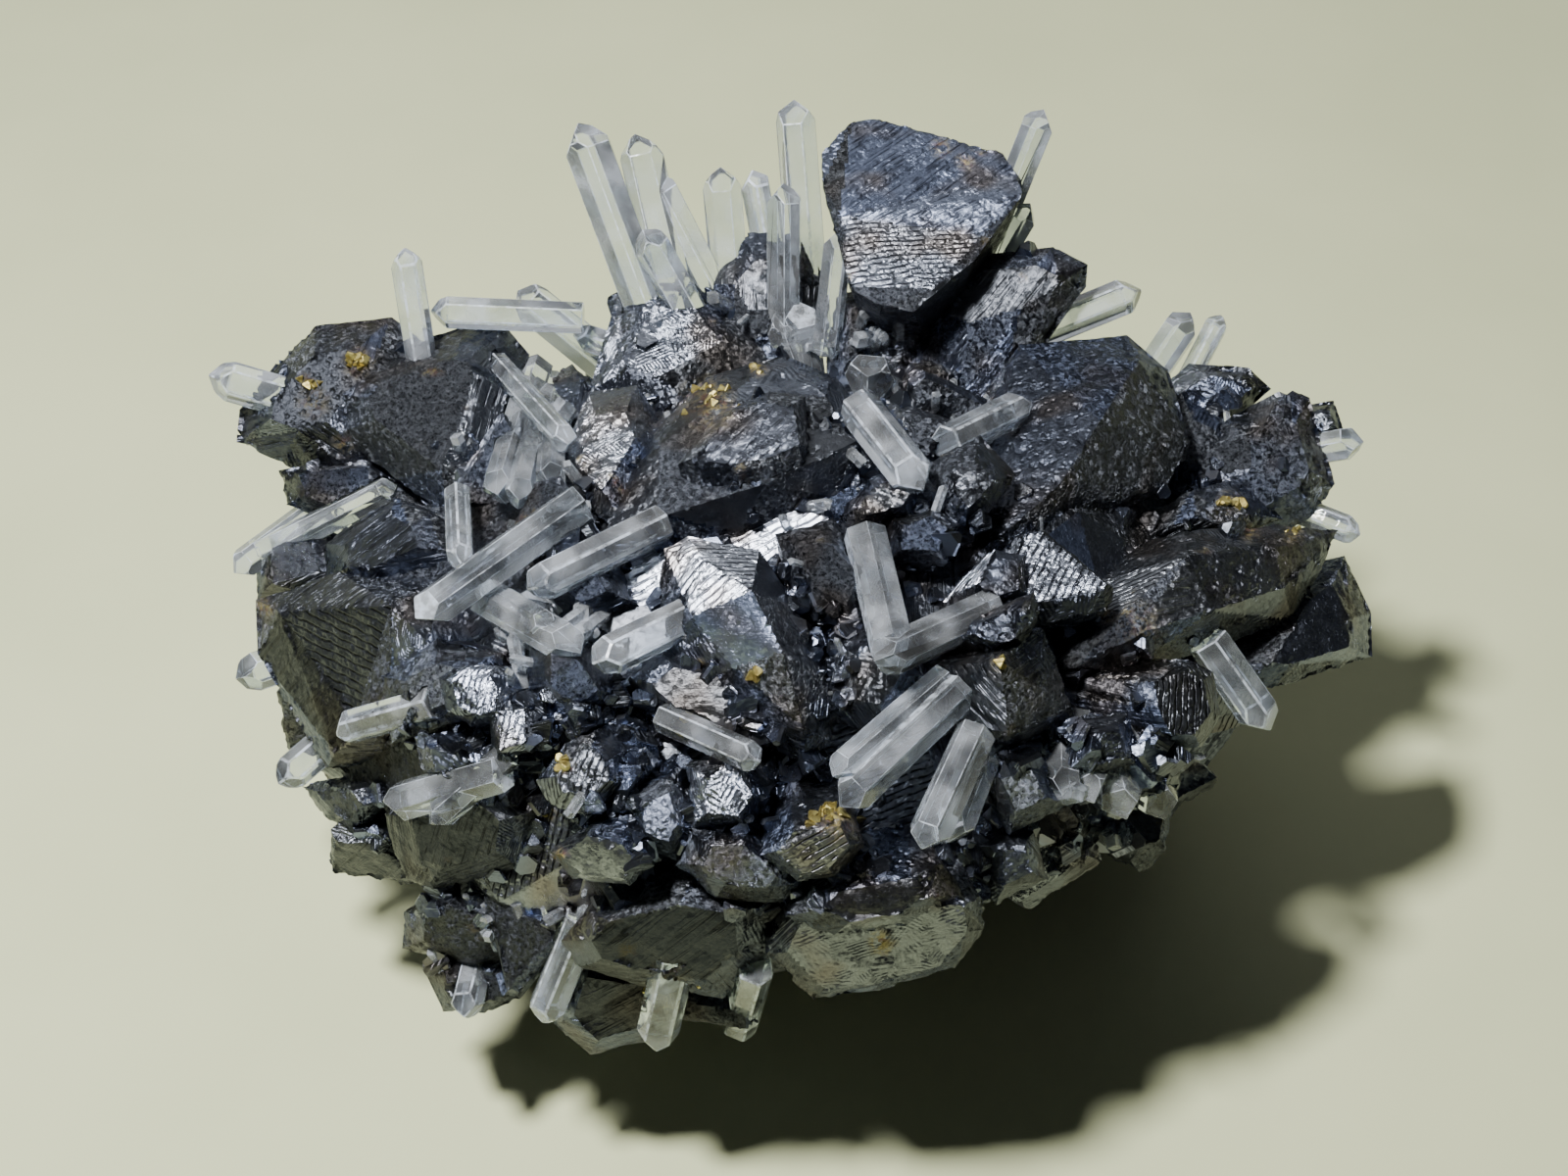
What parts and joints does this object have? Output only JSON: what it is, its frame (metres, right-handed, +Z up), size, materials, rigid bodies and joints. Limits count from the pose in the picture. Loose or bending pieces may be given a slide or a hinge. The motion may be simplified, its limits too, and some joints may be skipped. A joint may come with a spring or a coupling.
{
  "type": "sphalerite and quartz mineral specimen",
  "caption": "Mineral specimen for display: dark sphalerite crystals grown into one mass, with clear quartz prisms standing out.",
  "frame": {"origin": "middle of the specimen's footprint, on the surface it rests on", "axes": "+Z up, +X along the longest side, -Y towards the side that is shown"},
  "size_m": [0.119, 0.091, 0.069],
  "materials": {
    "sphalerite": "satin",
    "quartz": "gloss"
  },
  "bodies": {
    "root": {"quartz_back_01": "quartz", "quartz_back_02": "quartz", "quartz_back_03": "quartz", "quartz_back_04": "quartz", "quartz_back_05": "quartz", "quartz_back_06": "quartz", "quartz_blunt": "quartz", "quartz_boulder_bar": "quartz", "quartz_box": "quartz", "quartz_comb": "quartz", "quartz_comb_cross": "quartz", "quartz_comb_low": "quartz", "quartz_corner_block": "quartz", "quartz_crown_wand": "quartz", "quartz_cup_drop": "quartz", "quartz_diagonal": "quartz", "quartz_dome_bud": "quartz", "quartz_druse": "quartz", "quartz_gem_row": "quartz", "quartz_glint": "quartz", "quartz_hanging": "quartz", "quartz_left_glassy": "quartz", "quartz_left_long": "quartz", "quartz_left_lying": "quartz", "quartz_left_shard": "quartz", "quartz_left_shelf": "quartz", "quartz_left_stub": "quartz", "quartz_left_upright": "quartz", "quartz_pointer": "quartz", "quartz_pointer_low": "quartz", "quartz_pointer_second": "quartz", "quartz_ridge_foot": "quartz", "quartz_right_bud": "quartz", "quartz_right_finger": "quartz", "quartz_right_horn": "quartz", "quartz_right_knob": "quartz", "quartz_right_pencil": "quartz", "quartz_right_spike": "quartz", "quartz_sheaf": "quartz", "quartz_toe_bright": "quartz", "quartz_toe_flake": "quartz", "quartz_toe_thick": "quartz", "quartz_top_back": "quartz", "quartz_top_bright": "quartz", "quartz_top_sheaf": "quartz", "quartz_top_slender": "quartz", "quartz_top_tall": "quartz", "quartz_vee": "quartz", "sphalerite_mass": "sphalerite"}
  },
  "joints": []
}
